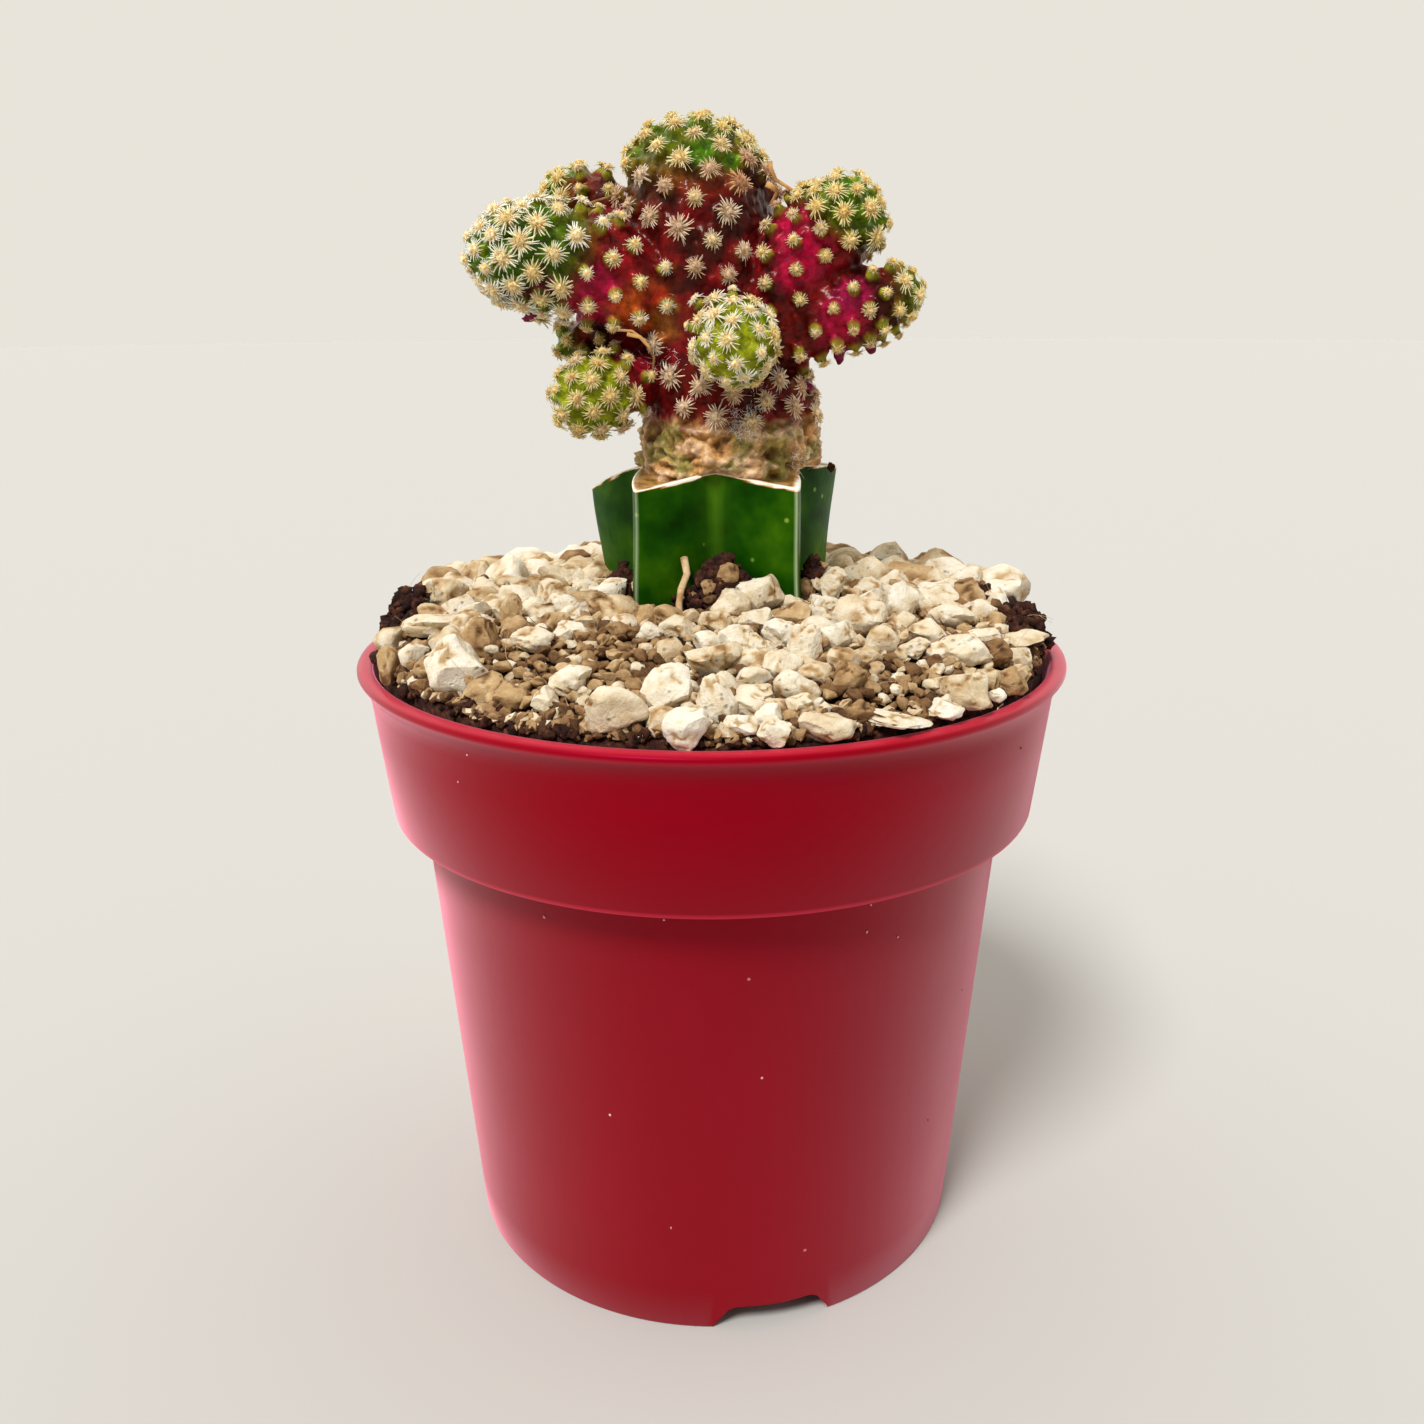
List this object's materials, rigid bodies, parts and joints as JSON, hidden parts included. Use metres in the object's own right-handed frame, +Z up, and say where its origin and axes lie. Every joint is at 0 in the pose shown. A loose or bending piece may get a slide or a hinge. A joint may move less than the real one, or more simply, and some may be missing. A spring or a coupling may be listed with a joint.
{
  "type": "potted mammillaria",
  "caption": "Clustering mammillaria with crimson and green spined heads, grafted on a green ribbed cactus stem, in a red plastic nursery pot topped with pale gravel.",
  "frame": {"origin": "centre of the pot's foot, on the surface that it stands on", "axes": "+Z up, -Y towards the viewer of the picture, +X to that viewer's right"},
  "size_m": [0.085, 0.0848, 0.1352],
  "materials": {
    "red_polypropylene": "semi-gloss moulded polypropylene",
    "peat_mix": "dark crumbly potting mix",
    "pumice_gravel": "pale cream stones on tan grit, matt",
    "green_stem": "waxy dark green cactus skin",
    "crimson_skin": "crimson cactus skin with cream spine stars and a tan corky neck",
    "green_skin": "yellow-green cactus skin with cream spine stars, crimson towards the root"
  },
  "bodies": {
    "root": {"pot": "red_polypropylene", "potting_mix": "peat_mix", "gravel": "pumice_gravel", "rootstock": "green_stem", "main_head": "crimson_skin", "front_head": "green_skin", "left_bud": "green_skin", "left_head": "green_skin", "lower_left_head": "green_skin", "rear_head": "green_skin", "rear_left_head": "green_skin", "rear_right_head": "green_skin", "right_head": "green_skin", "upper_right_head": "green_skin"}
  },
  "joints": []
}
